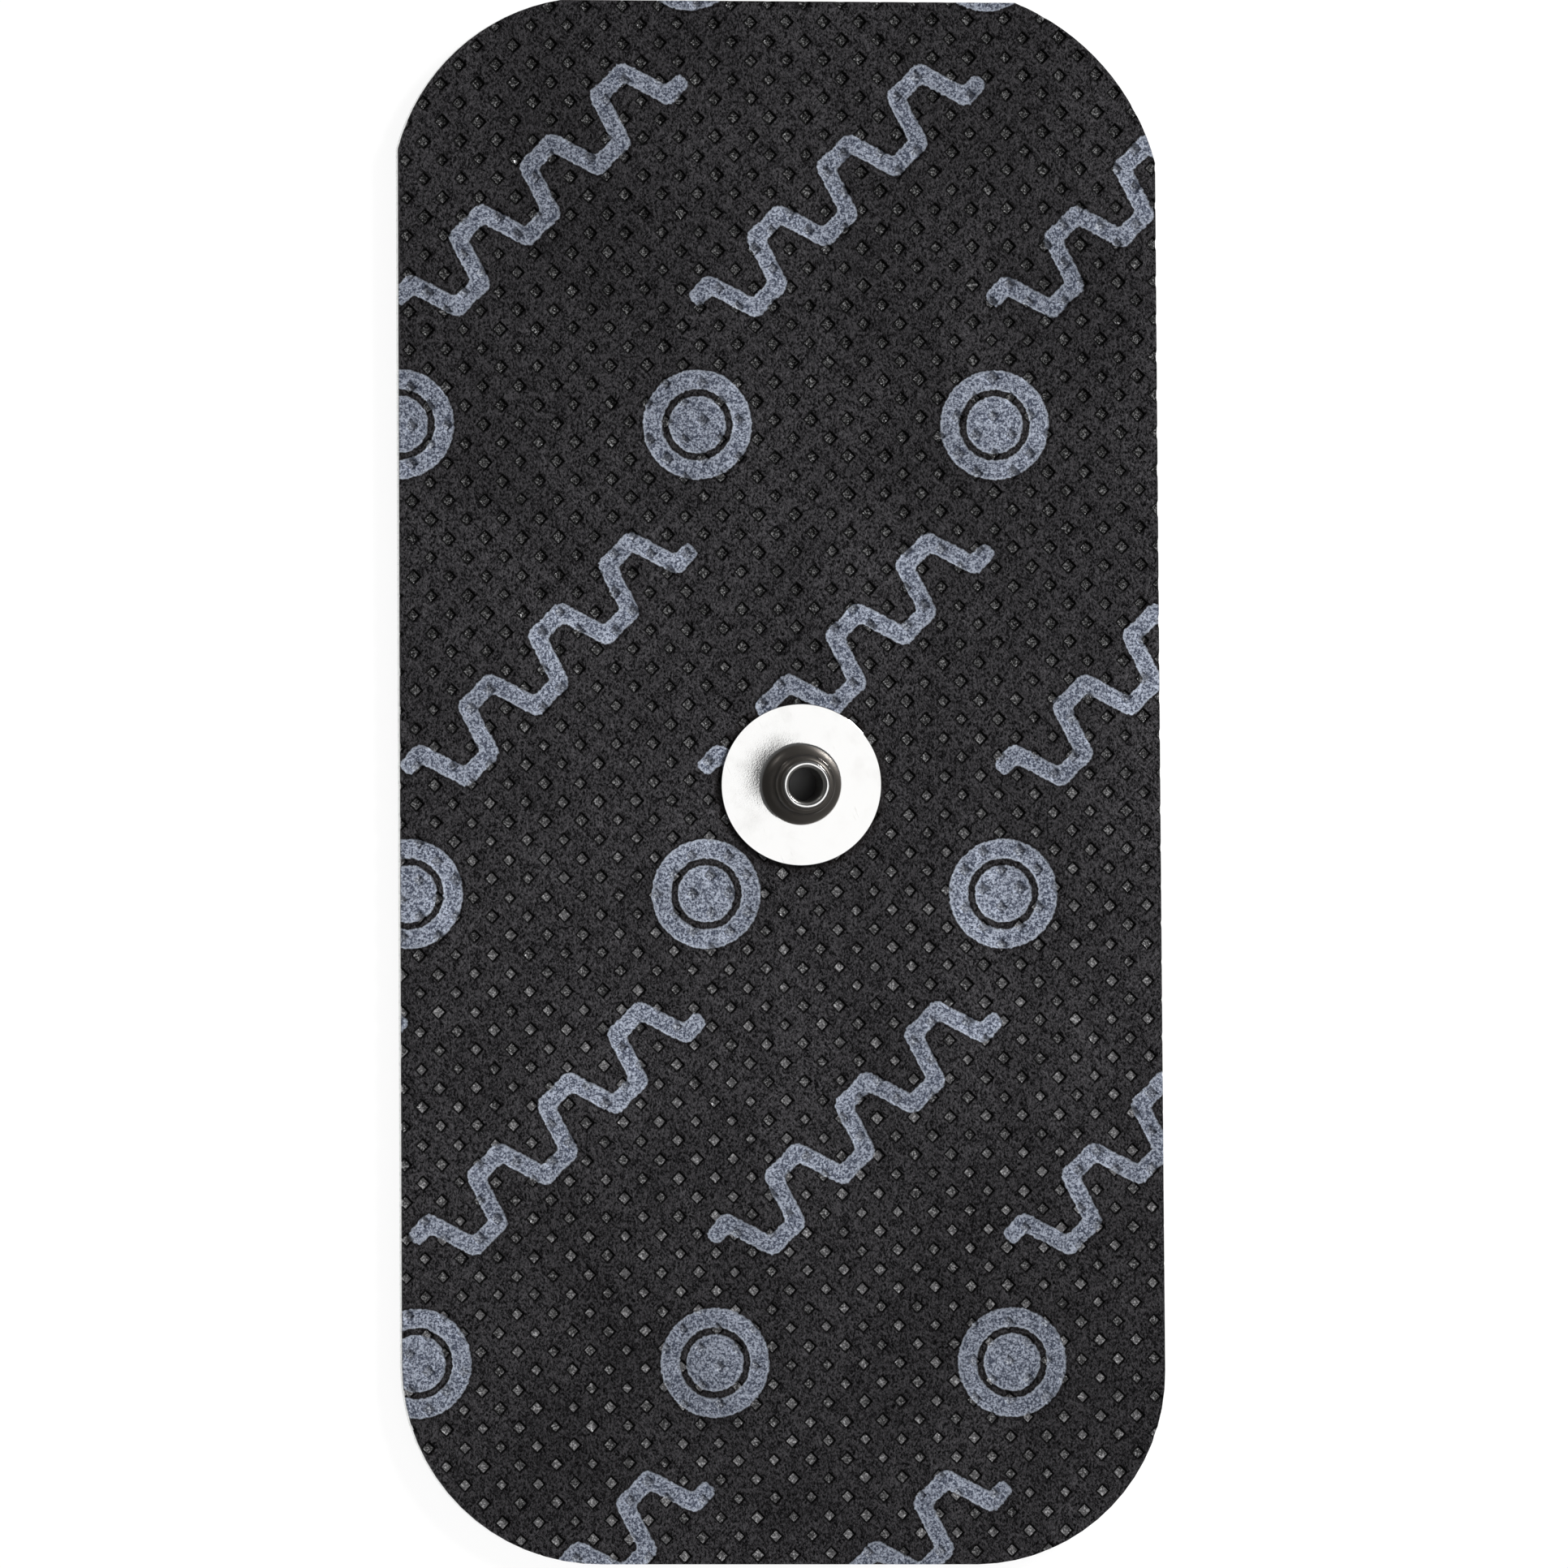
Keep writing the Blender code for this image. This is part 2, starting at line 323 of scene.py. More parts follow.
def emboss(shape, line_count):
    """Move the points of a square grid to the lattice and press the pits into it."""
    bond = shape.verts.layers.float.new("bond")
    draw = random.Random(PIT_SEED)
    pits = {}
    for vert in shape.verts:
        lines = [round(value + line_count / 2) for value in vert.co.xy]
        cell = tuple(line // len(CELL_LINES) - CELLS_OUT for line in lines)
        inner = [line % len(CELL_LINES) for line in lines]
        out_u, out_v = (LINES_OUT[line] for line in inner)
        if cell not in pits:
            pits[cell] = Pit(draw, BOND_START + cell[0] * up_right + cell[1] * down_right)
        pit = pits[cell]
        ring = max(out_u, out_v)
        size, shift = (pit.size, pit.shift) if ring < 3 else (1.0, Vector((0, 0)))
        u, v = (at + CELL_LINES[line] * size for at, line in zip(cell, inner))
        place = BOND_START + u * up_right + v * down_right + shift
        swell = SWELL * (1 + noise.noise(place.to_3d() / SWELL_LENGTH))
        vert.co = (*place, cloth_high.z - swell - pit.drop(out_u, out_v, inner))
        vert[bond] = BOND_MARKS[ring]
    print(f"{len(pits)} bond points before the cut")


# %% [markdown]
# ## Cutting the cloth with the part's own outline
#
# One stroke of a die cuts all the layers, so the cloth must end exactly where the film under it
# ends. The film's walls are already in the frame. Each wall is a plane, and bisect_plane cuts the
# cloth along it and throws the outside away, which works because the outline has no hollow side.
# The hole for the snap does have one, so there the planes only cut, and the middle is deleted.


# %% Walls of the die
SAME_PLACE = 0.0001 * MM  # points closer than this are one
THIN_EDGE = 0.002 * MM  # what a cut leaves shorter than this is closed up
HOLE_REACH = 5 * MM  # from the snap's axis: nearer walls are the hole's


def film_walls():
    """Planes of the film's walls, as (point, outward normal), round the outline and the hole."""
    film = bmesh.new()
    film.from_mesh(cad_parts["carbon_film"].data)
    bmesh.ops.remove_doubles(film, verts=film.verts, dist=SAME_PLACE)
    bmesh.ops.dissolve_limit(film, angle_limit=math.radians(1), verts=film.verts, edges=film.edges)
    walls = [face for face in film.faces if abs(face.normal.z) < 0.5]
    walls.sort(key=lambda wall: -wall.calc_area())
    planes = [(wall.calc_center_median(), wall.normal.copy()) for wall in walls]
    film.free()
    outline = [plane for plane in planes if (plane[0].xy - snap_axis).length > HOLE_REACH]
    hole = [plane for plane in planes if (plane[0].xy - snap_axis).length <= HOLE_REACH]
    return outline, hole


outline_walls, hole_walls = film_walls()
print(f"the die has {len(outline_walls)} walls, and the snap's hole {len(hole_walls)}")


# %% The cut cloth
def near_snap(shape, reach):
    """Faces of the cloth near the snap, with their edges and corners."""
    faces = [f for f in shape.faces if (f.calc_center_median().xy - snap_axis).length < reach]
    edges = {edge for face in faces for edge in face.edges}
    verts = {vert for face in faces for vert in face.verts}
    return [*verts, *edges, *faces]


def make_cloth_shape():
    line_count = len(CELL_LINES) * (2 * CELLS_OUT + 1) - 1
    shape = bmesh.new()
    spread = Matrix.Diagonal((line_count, line_count, 1, 1))
    bmesh.ops.create_grid(
        shape, x_segments=line_count, y_segments=line_count, size=0.5, matrix=spread
    )
    emboss(shape, line_count)
    for point, normal in outline_walls:
        everything = [*shape.verts, *shape.edges, *shape.faces]
        bmesh.ops.bisect_plane(
            shape, geom=everything, dist=SAME_PLACE, plane_co=point, plane_no=normal,
            clear_outer=True,
        )
    hole_reach = max((point.xy - snap_axis).length for point, _ in hole_walls)
    patch = near_snap(shape, 2 * hole_reach)
    for point, normal in hole_walls:
        patch = bmesh.ops.bisect_plane(
            shape, geom=patch, dist=SAME_PLACE, plane_co=point, plane_no=normal
        )["geom"]
    inside = [item for item in near_snap(shape, hole_reach) if isinstance(item, bmesh.types.BMFace)]
    bmesh.ops.delete(shape, geom=inside, context="FACES")
    bmesh.ops.remove_doubles(shape, verts=shape.verts, dist=THIN_EDGE)
    rim = [edge for edge in shape.edges if edge.is_boundary]
    hem = bmesh.ops.extrude_edge_only(shape, edges=rim)["geom"]
    for vert in [item for item in hem if isinstance(item, bmesh.types.BMVert)]:
        vert.co.z = cloth_low.z
    below = [edge for edge in hem if isinstance(edge, bmesh.types.BMEdge) and edge.is_boundary]
    bmesh.ops.triangle_fill(shape, use_beauty=True, edges=below)
    return shape


def mark_welds(shape):
    """Give the floors and walls of the pits the second finish of the cloth."""
    bond = shape.verts.layers.float["bond"]
    wall_top = BOND_MARKS[2]
    for face in shape.faces:
        face.material_index = int(min(vert[bond] for vert in face.verts) >= wall_top)


cloth_shape = make_cloth_shape()
mark_welds(cloth_shape)
print(f"cloth: {len(cloth_shape.faces)} faces")

# %% [markdown]
# ## The print
#
# The cloth carries a grey-blue print that is pressed in slightly. What is printed here is
# generic: a train of pulses, as a stimulator sends, and a round spot with a ring in it, as the
# snap looks from above. Both are worked out from the surface point with plain sums, and what the
# sums give is a distance to the ink's edge in millimetres, less than nothing inside it. A
# distance is more useful than a mask: one gives a crisp edge, a soft dent, and a dark outline of
# painted shade just outside the ink.

# %% Distance to the print
PRINT_ACROSS = 19.2
PRINT_ALONG = 30.0
PRINT_DRIFT = 0.57  # each row lies this much further to the left than the one below it
STROKE = 1.1
PULSE_START = (4.1, 7.9)
PULSE_SLANT = math.radians(45)
PULSE_PERIOD = 6.4
PULSE_HEIGHT = 1.55
PULSE_STEEPNESS = 3.2
PULSE_TRAIN = 23.3
SPOT_RADIUS = 3.5
SPOT_RING = 2.05
SPOT_GAP = 0.45
CORNER_ROUND = 0.7


def in_cell(graph, x, y, start):
    """The place in one cell of the print, measured from the cell's middle."""
    along = y - start[1]
    row = graph.math("ROUND", along / PRINT_ALONG)
    across = x - start[0] + row * PRINT_DRIFT
    half_across, half_along = PRINT_ACROSS / 2, PRINT_ALONG / 2
    return (
        graph.math("WRAP", across, half_across, -half_across),
        graph.math("WRAP", along, half_along, -half_along),
    )


def pulse_distance(graph, x, y):
    across, along = in_cell(graph, x, y, PULSE_START)
    slant_cos, slant_sin = math.cos(PULSE_SLANT), math.sin(PULSE_SLANT)
    run = across * slant_cos + along * slant_sin
    height = along * slant_cos - across * slant_sin
    quarter = PULSE_PERIOD / 4
    beat = graph.math("PINGPONG", run + quarter, 2 * quarter) - quarter
    slope = abs(height - beat * PULSE_STEEPNESS) / math.hypot(1, PULSE_STEEPNESS) - STROKE / 2
    slope = graph.math("SMOOTH_MAX", slope, abs(height) - PULSE_HEIGHT - STROKE / 2, CORNER_ROUND)
    same_side = beat * graph.math("SIGN", height)
    level = abs(abs(height) - PULSE_HEIGHT) - STROKE / 2
    level = graph.most(level, PULSE_HEIGHT / PULSE_STEEPNESS - same_side)
    wave = graph.math("SMOOTH_MIN", slope, level, CORNER_ROUND / 2)
    return graph.math("SMOOTH_MAX", wave, abs(run) - PULSE_TRAIN / 2, CORNER_ROUND)


def spot_distance(graph, x, y):
    start = (PULSE_START[0] + PRINT_ACROSS / 2, PULSE_START[1] + PRINT_ALONG / 2)
    across, along = in_cell(graph, x, y, start)
    radius = (across * across + along * along) ** 0.5
    return graph.most(radius - SPOT_RADIUS, SPOT_GAP / 2 - abs(radius - SPOT_RING))


print(f"a print cell is {PRINT_ACROSS} x {PRINT_ALONG} mm")

# %% [markdown]
# ## The nonwoven finish
#
# Close up the cloth is fibres a fiftieth of a millimetre thick, lying mostly along the pad. They
# are too fine and too many to model, so they are streaks of noise, stretched along four
# directions, that drive both the tone and the bump. Round the snap's flange the cloth is painted
# darker and a little brown, as the flange's shadow, and painted shade darkens it a little towards
# both ends. The ink lies on the fibres and on the welds alike, so it is a class that both finishes
# start from.


# %% Ink on either finish
EDGE_WANDER = 0.26  # mm between the furthest out and the furthest in that the ink's edge lies
PRINT_DENT = 0.045  # mm that the print is pressed in
INK_GROUND = (0.060, 0.071, 0.106)
INK_SPECKS = (0.47, 0.51, 0.605)
INK_EDGE_HIGHLIGHT = (0.47, 0.51, 0.585)


class Printed(Finish):
    """A finish with the print on it: how far the surface point lies outside the ink, in mm."""

    def __init__(self, name, constants):
        super().__init__(name, constants)
        x, y, _ = self.spot_mm()
        ragged = (self.speckle((0.22, 0.22, 1), detail=3.0) - 0.5) * EDGE_WANDER
        self.to_ink = self.least(pulse_distance(self, x, y), spot_distance(self, x, y)) + ragged
        self.ink = self.rise(self.to_ink, 0.04, -0.04)
        self.dent = self.rise(self.to_ink, 0.06, -0.10)
        self.weld = Amount(self, self.node("Attribute", {"attribute_name": "bond"}).outputs["Fac"])

    def ink_tone(self):
        """Specks of white over blue-grey, with a paler line where the ink ends: a painted highlight
        on the dent's edge.
        """
        fine = self.speckle((0.13, 0.13, 1), detail=2.0, rough=0.7)
        flecks = self.rise(fine, 0.40, 0.64)
        body = self.tone(flecks, INK_GROUND, INK_SPECKS)
        # painted highlight: a paler line along the ink's edge
        edge = self.rise(self.to_ink, -0.20, -0.04)
        return self.tone(edge * 0.5, body, INK_EDGE_HIGHLIGHT)


# %% Cloth finish
FIBRE_TURNS = (-38, -9, 14, 47)  # degrees from the pad's length
FIBRE_HEIGHT = 0.030
FIBRE_SHADE = (0.0014, 0.0013, 0.0016)
FIBRE_LIGHT = (0.102, 0.098, 0.105)
# painted shade at the rim of each pit
PIT_RIM_SHADE = (0.003, 0.003, 0.003)
# painted shade round the print's dent
PRINT_EDGE_SHADE = (0.006, 0.0048, 0.0048)
# painted shadow of the snap's flange on the cloth
FLANGE_SHADOW_TONE = (0.008, 0.006, 0.005)
FLANGE_SHADOW_REACH = (6.0, 5.2)  # mm from the snap's axis, from where it shows to where it is full
# painted shade: the cloth's tone falls off towards both ends of the pad
END_SHADE = 0.80  # tone at the pad's ends, as a share of that in the middle


def make_cloth_finish():
    cloth = Printed("nonwoven_cloth", {"Specular IOR Level": 0.10})
    streaks = [
        cloth.speckle((0.075, 0.42, 1), turn, detail=1.0, bend=0.8) for turn in FIBRE_TURNS
    ]
    streak = cloth.rise(cloth.most(*streaks), 0.555, 0.745)
    tuft = cloth.rise(cloth.speckle((0.125, 0.15, 1), detail=2.0, rough=0.6), 0.40, 0.67)
    fibre = streak * 0.45 + tuft * 0.55
    _, y, _ = cloth.spot_mm()
    mottle_and_end_shade = cloth.rise(cloth.speckle((7, 11, 1)), 0.3, 0.7, 0.84, 1.16)
    # painted shade towards the pad's ends, over the random mottle
    mottle_and_end_shade = mottle_and_end_shade * cloth.rise(abs(y), 5, 40, 1.0, END_SHADE)
    # painted shade: a dark band just outside the print's dent
    print_edge_shade = cloth.rise(cloth.to_ink, 0.30, 0.02) * (1 - cloth.ink)
    _, _, from_snap = cloth.spot_from_snap()
    # painted shadow: the cloth is darker and browner round the snap's flange
    flange_shadow = cloth.rise(from_snap, *FLANGE_SHADOW_REACH)

    bare = cloth.tone(fibre, FIBRE_SHADE, FIBRE_LIGHT)
    # painted shade: the cloth darkens towards each pit's walls
    bare = cloth.tone(cloth.weld * 2.0, bare, PIT_RIM_SHADE)
    bare = cloth.tone(print_edge_shade * 0.6, bare, PRINT_EDGE_SHADE)
    bare = cloth.tone(flange_shadow * 0.6, bare, FLANGE_SHADOW_TONE)
    painted = cloth.tone(cloth.ink, bare, cloth.ink_tone())
    shade = cloth.node("CombineColor", (), {0: mottle_and_end_shade, 1: mottle_and_end_shade, 2: mottle_and_end_shade}).outputs[0]
    clouded = cloth.node(
        "Mix", {"data_type": "RGBA", "blend_type": "MULTIPLY"}, {0: 1.0, 6: painted, 7: shade}
    )
    cloth.shows("Base Color", clouded.outputs[2])
    cloth.shows("Roughness", 0.92 - cloth.ink * 0.25)
    cloth.relief(fibre * FIBRE_HEIGHT - cloth.dent * PRINT_DENT)
    return cloth


# %% [markdown]
# The welds are another surface, although they are the same fibre: melted, it is smooth, glossy
# and crumpled like foil. They are whole faces of the mesh, so they get a finish of their own,
# which keeps their outlines crisp. Down the pad most floors are painted pale, as the reflection of
# the overhead softbox, and towards the top end and in some pits at random they are painted dark,
# where that reflection misses. Pale specks on them are painted glints, the walls are dark fibre
# with painted shade, and a pale line painted where a floor meets its walls is the highlight that
# fold catches. On the print the ink bridges them, and they show less: there the ink is painted
# darker, as shade in the pit, with painted glints.


# %% Weld finish
SHEEN_FADE_REACH = (-16, 12)  # mm along the pad, from where the first floors lose the painted sheen to where all have lost it
CRUMPLE_HEIGHT = 0.035
WELD_PAINTED_SHEEN = (0.085, 0.083, 0.086)
WELD_WITHOUT_SHEEN = (0.006, 0.006, 0.006)
WELD_PAINTED_GLINTS = (0.34, 0.335, 0.34)
# painted glints on the weld floors
WELD_WALL_SHADE = (0.012, 0.012, 0.013)
WELD_FOLD_HIGHLIGHT = (0.24, 0.235, 0.24)
INK_PIT_SHADE = (0.030, 0.034, 0.048)
INK_GLINTS = (0.66, 0.70, 0.76)


def make_weld_finish():
    weld = Printed("bond_points", {"Specular IOR Level": 0.7})
    crumple = weld.rise(weld.speckle((0.17, 0.17, 1), detail=1.5), 0.35, 0.65)
    _, y, _ = weld.spot_mm()
    dark = weld.rise(weld.speckle((1.7, 1.7, 1), detail=0.0), 0.54, 0.42)
    # painted reflection: floors are pale where they would mirror the softbox, dark up the pad and
    # in random pits
    sheen_fade = weld.most(weld.rise(y, *SHEEN_FADE_REACH), dark * 0.75)
    floor = weld.rise(weld.weld, 0.5, 1.0)
    bare = weld.tone(sheen_fade, WELD_PAINTED_SHEEN, WELD_WITHOUT_SHEEN)
    # painted glints: pale specks on the floors, fewer where the sheen is gone
    flecks = weld.rise(weld.speckle((0.12, 0.12, 1), detail=1.5), 0.52, 0.66)
    bare = weld.tone(flecks * (0.9 - sheen_fade * 0.45), bare, WELD_PAINTED_GLINTS)
    # the walls are dark fibre with painted shade on it
    bare = weld.tone(floor, WELD_WALL_SHADE, bare)
    # painted highlight: a pale line where a floor meets its walls
    fold_highlight = weld.rise(weld.weld, 0.68, 0.86) * weld.rise(weld.weld, 1.0, 0.93)
    bare = weld.tone(fold_highlight * 0.8, bare, WELD_FOLD_HIGHLIGHT)
    # the ink in a pit is painted darker, as shade in the pit, and gets painted glints
    inked = weld.tone(0.5, weld.ink_tone(), INK_PIT_SHADE)
    inked = weld.tone(flecks * 0.6, inked, INK_GLINTS)
    weld.shows("Base Color", weld.tone(weld.ink, bare, inked))
    weld.shows("Roughness", 0.20 + weld.ink * 0.25 + (1 - floor) * 0.15)
    weld.relief(crumple * CRUMPLE_HEIGHT - weld.dent * PRINT_DENT)
    return weld


cloth_looks = [make_cloth_finish(), make_weld_finish()]
cloth = add_piece("embossed_cloth", cloth_shape, cloth_looks, "backing_fabric", sharp=30)

# %% [markdown]
# ## The snap
#
# Both halves of the snap are drawn from thin sheet and are round, so each is one profile spun
# about the axis. A profile is a path of straight runs and arcs down the middle of the tooling,
# and the sheet's thickness lies on its right. The part has the same profiles with a few steps;
# here they have many, because polished metal shows every flat.

# %% Profiles of drawn sheet
ARC_STEPS = 18
ROUND_STEPS = 144


def arc(centre_r, centre_z, radius, start, end):
    """Points of a profile round a centre, from one angle in degrees to another."""
    centre, points = Vector((centre_r, centre_z)), []
    for step in range(ARC_STEPS + 1):
        angle = math.radians(start + (end - start) * step / ARC_STEPS)
        points.append(centre + radius * Vector((math.cos(angle), math.sin(angle))))
    return points


def right_of(path, distance):
    """The same path moved square to itself, to the right of the way that it runs."""
    ways = [(b - a).normalized() for a, b in zip(path, path[1:])]
    rights = [Vector((way.y, -way.x)) for way in ways]
    before, after = [rights[0]] + rights, rights + [rights[-1]]
    return [
        point + (one + two) * distance / (1 + one.dot(two))
        for point, one, two in zip(path, before, after)
    ]


def sheet_loop(path, thickness, edge_break):
    """Closed profile of a sheet with its metal on the right of the path and its corners broken."""
    loop = path + right_of(path, thickness)[::-1]
    corners = {0, len(path) - 1, len(path), len(loop) - 1}
    softened = []
    for index, point in enumerate(loop):
        if index not in corners:
            softened.append(point)
            continue
        before = (loop[index - 1] - point).normalized() * edge_break
        after = (loop[(index + 1) % len(loop)] - point).normalized() * edge_break
        softened += [point + before, point + (before + after) * 0.3, point + after]
    return softened


def spun(profile, base):
    """A closed profile of (radius, height) points spun round the snap's axis from a base level."""
    shape = bmesh.new()
    points = [shape.verts.new((point.x, 0, point.y)) for point in profile]
    edges = [shape.edges.new(pair) for pair in zip(points, points[1:] + points[:1])]
    bmesh.ops.spin(
        shape, geom=points + edges, cent=(0, 0, 0), axis=(0, 0, 1), dvec=(0, 0, 0),
        angle=2 * math.pi, steps=ROUND_STEPS, use_merge=True, use_duplicate=False,
    )
    bmesh.ops.remove_doubles(shape, verts=shape.verts, dist=SAME_PLACE)
    bmesh.ops.translate(shape, verts=shape.verts, vec=(*snap_axis, base))
    return shape


print(f"a spun piece has {ROUND_STEPS} steps round")

# %% [markdown]
# ## Nickel plate
#
# Bright nickel is a mirror with a warm cast. What makes it look like metal is what it reflects,
# so it stays plain: faint rings from the drawing tool, and a fine satin that blurs the lamps. The
# foot, which the tool rubs as it draws the neck, is less smooth, and it is painted dark, as
# shade standing in for the dark surroundings that it mirrors.


# %% Nickel finish
RINGS_PER_MM = 9.0
FOOT_OUTSIDE = (2.62, 2.50)  # mm from the axis, from the zone's edge to where it is full
FOOT_INSIDE = (1.44, 1.54)
BORE_EDGE = (1.29, 1.25)
NICKEL_BRIGHT = (0.750, 0.747, 0.740)
NICKEL_DULL = (0.66, 0.65, 0.63)
NICKEL_FOOT_SHADE = (0.12, 0.10, 0.08)
NICKEL_BORE = (0.55, 0.54, 0.52)
NICKEL_RUBBED = (0.45, 0.43, 0.40)


def make_nickel():
    nickel = Finish("nickel_plate", {"Metallic": 1.0})
    across, along, radius = nickel.spot_from_snap()
    ring_spot = nickel.node(
        "CombineXYZ", (), {0: radius * RINGS_PER_MM, 1: across * 0.15, 2: along * 0.15}
    )
    sockets = {"Vector": ring_spot.outputs[0], "Scale": 1.0, "Detail": 3.0}
    rings = Amount(nickel, nickel.node("TexNoise", (), sockets).outputs[0])
    satin = nickel.speckle((0.09, 0.09, 0.09), detail=2.0)
    dull = nickel.rise(nickel.speckle((1.4, 1.4, 1.4), detail=4.0), 0.45, 0.75)
    rub = nickel.rise(nickel.speckle((0.12, 1.6, 0.5), 25, detail=3.0), 0.66, 0.76)
    foot = nickel.rise(radius, *FOOT_OUTSIDE) * nickel.rise(radius, *FOOT_INSIDE)
    bore = nickel.rise(radius, *BORE_EDGE)
    bright = nickel.tone(dull * 0.25, NICKEL_BRIGHT, NICKEL_DULL)
    # painted shade: the foot's colour is darkened in place of the dark surroundings it mirrors
    bright = nickel.tone(foot * 0.85, bright, NICKEL_FOOT_SHADE)
    bright = nickel.tone(bore, bright, NICKEL_BORE)
    nickel.shows("Base Color", nickel.tone(rub * 0.25, bright, NICKEL_RUBBED))
    nickel.shows("Roughness", 0.05 + dull * 0.05 + satin * 0.03 + foot * 0.28 + bore * 0.25)
    nickel.relief(rings * 0.0002 + satin * 0.0016)
    return nickel


nickel_finish = make_nickel()
print(f"{nickel_finish.material.name}: {len(nickel_finish.tree.nodes)} nodes")

# %% [markdown]
# ## Stud and eyelet
#
# The stud is the snap's outer half: a flange, a foot that sweeps up into a neck, and a head that
# the lead's spring closes under. The eyelet comes up from below as a tube and is rolled over the
# head, which locks the two halves and gives the thin bright ring round the dark bore.

# %% Stud
STUD_SHEET = 0.25 * MM
STUD_FLANGE_RADIUS = (stud_high.x - stud_low.x) / 2
STUD_MOUTH = 1.315 * MM
NECK_RADIUS = 1.70 * MM
HEAD_RADIUS = 1.95 * MM
HEAD_ROUND = 0.45 * MM
HEAD_UNDERCUT = 40.0
STUD_FOOT = 1.19 * MM
FOOT_SLOPE = math.radians(14)  # where the foot meets the flange in a crease
DISH_EDGE = 4.9 * MM  # radius from which the flange starts to rise towards the foot
DISH_SLOPE = math.radians(2.5)  # where it meets the foot
EDGE_BREAK = 0.04 * MM

head_top = stud_high.z - stud_low.z
foot_radius = NECK_RADIUS + STUD_FOOT * (1 - math.sin(FOOT_SLOPE))
dish_radius = (DISH_EDGE - foot_radius) / math.sin(DISH_SLOPE)
dish_rise = dish_radius * (1 - math.cos(DISH_SLOPE))
foot_level = STUD_SHEET + dish_rise + STUD_FOOT * math.cos(FOOT_SLOPE)
stud_path = [Vector((STUD_MOUTH, head_top))]
stud_path += arc(
    HEAD_RADIUS - HEAD_ROUND, head_top - HEAD_ROUND, HEAD_ROUND, 90, -HEAD_UNDERCUT
)
stud_path += arc(
    NECK_RADIUS + STUD_FOOT, foot_level, STUD_FOOT, -180, -90 - math.degrees(FOOT_SLOPE)
)
stud_path += arc(
    DISH_EDGE, STUD_SHEET + dish_radius, dish_radius, -90 - math.degrees(DISH_SLOPE), -90
)[1:]
stud_path += [Vector((STUD_FLANGE_RADIUS, STUD_SHEET))]
stud_shape = spun(sheet_loop(stud_path, STUD_SHEET, EDGE_BREAK), stud_low.z)
add_piece("drawn_stud", stud_shape, [nickel_finish], "snap_stud", sharp=20)

# %% Eyelet
EYELET_SHEET = 0.20 * MM
EYELET_BORE_RADIUS = 1.065 * MM
EYELET_BEND = 0.35 * MM
EYELET_ROLL = 0.30 * MM
EYELET_ROLL_END = 30.0
EYELET_FLANGE_RADIUS = 4.0 * MM

roll_level = eyelet_high.z - eyelet_low.z - EYELET_ROLL
eyelet_path = [Vector((EYELET_FLANGE_RADIUS, 0))]
eyelet_path += arc(EYELET_BORE_RADIUS + EYELET_BEND, EYELET_BEND, EYELET_BEND, -90, -180)
eyelet_path += arc(
    EYELET_BORE_RADIUS + EYELET_ROLL, roll_level, EYELET_ROLL, 180, EYELET_ROLL_END
)
eyelet_shape = spun(sheet_loop(eyelet_path, EYELET_SHEET, EDGE_BREAK), eyelet_low.z)
add_piece("rolled_eyelet", eyelet_shape, [nickel_finish], "snap_eyelet", sharp=20)

# %% [markdown]
# ## The hidden layers
#
# Film, insulating disc and gel are the frame's own pieces with a better finish. From above only
# their cut edges show. From below one looks through the gel: it is clear and wet-looking, with a
# fine net in it that keeps it in one piece, and the black film shows behind.


# %% Film and insulating disc
def make_film_finish():
    film = Finish("carbon_film", {"IOR": 1.5})
    mottle = film.speckle((0.6, 0.6, 0.6), detail=4.0)
    film.shows("Base Color", film.tone(mottle, (0.009, 0.009, 0.010), (0.018, 0.018, 0.019)))
    film.shows("Roughness", 0.34 + mottle * 0.16)
    film.relief(film.speckle((0.12, 0.12, 0.12)) * 0.004)
    return film


def make_disc_finish():
    disc = Finish("insulating_disc", {"IOR": 1.5})
    mottle = disc.speckle((0.5, 0.5, 0.5), detail=3.0)
    disc.shows("Base Color", disc.tone(mottle, (0.085, 0.085, 0.088), (0.150, 0.150, 0.153)))
    disc.shows("Roughness", 0.42 + mottle * 0.12)
    disc.relief(disc.speckle((0.2, 0.2, 0.2)) * 0.003)
    return disc


# %% Gel
NET_STEP = 1.0
NET_THREAD = 0.09


def make_gel_finish():
    gel = Finish("hydrogel", {"IOR": 1.40, "Transmission Weight": 0.96})
    x, y, z = gel.spot_mm()
    half = NET_STEP / 2
    nearest = gel.least(
        abs(gel.math("WRAP", x, half, -half)), abs(gel.math("WRAP", y, half, -half))
    )
    thread = gel.rise(nearest, NET_THREAD, NET_THREAD / 3) * (z < 0.02)
    clouds = gel.speckle((3.0, 3.0, 3.0), detail=3.0)
    gel.shows("Base Color", gel.tone(thread * 0.6, (0.88, 0.90, 0.88), (0.50, 0.52, 0.51)))
    gel.shows("Roughness", 0.07 + clouds * 0.08 + thread * 0.25)
    gel.relief(thread * 0.02 + clouds * 0.01)
    return gel


for node, finish in {
    "carbon_film": make_film_finish(),
    "eyelet_cover": make_disc_finish(),
    "hydrogel": make_gel_finish(),
}.items():
    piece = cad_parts[node]
    piece.data.materials.clear()
    piece.data.materials.append(finish.material)
    print(f"{node} keeps its shape and gets {finish.material.name}")

# %% [markdown]
# ## Table and surroundings
#
# The pad lies on a plain white table. What the camera and the metal see is white; the light that
# reaches the pad from it stays plain, and the pad's shadow still falls on it. Seen from below the
# table is clear, and it lets a lamp under it through, so that the gel can be looked at.

# %% Table
TABLE_SIZE = 3.0
TABLE_LEVEL = -0.1 * MM
TABLE_MATT = (0.75,) * 3  # what lights the pad from below
TABLE_SHADE = (0.11,) * 3  # what the shadow is drawn on, where the table is seen
TABLE_GLOW = 0.93


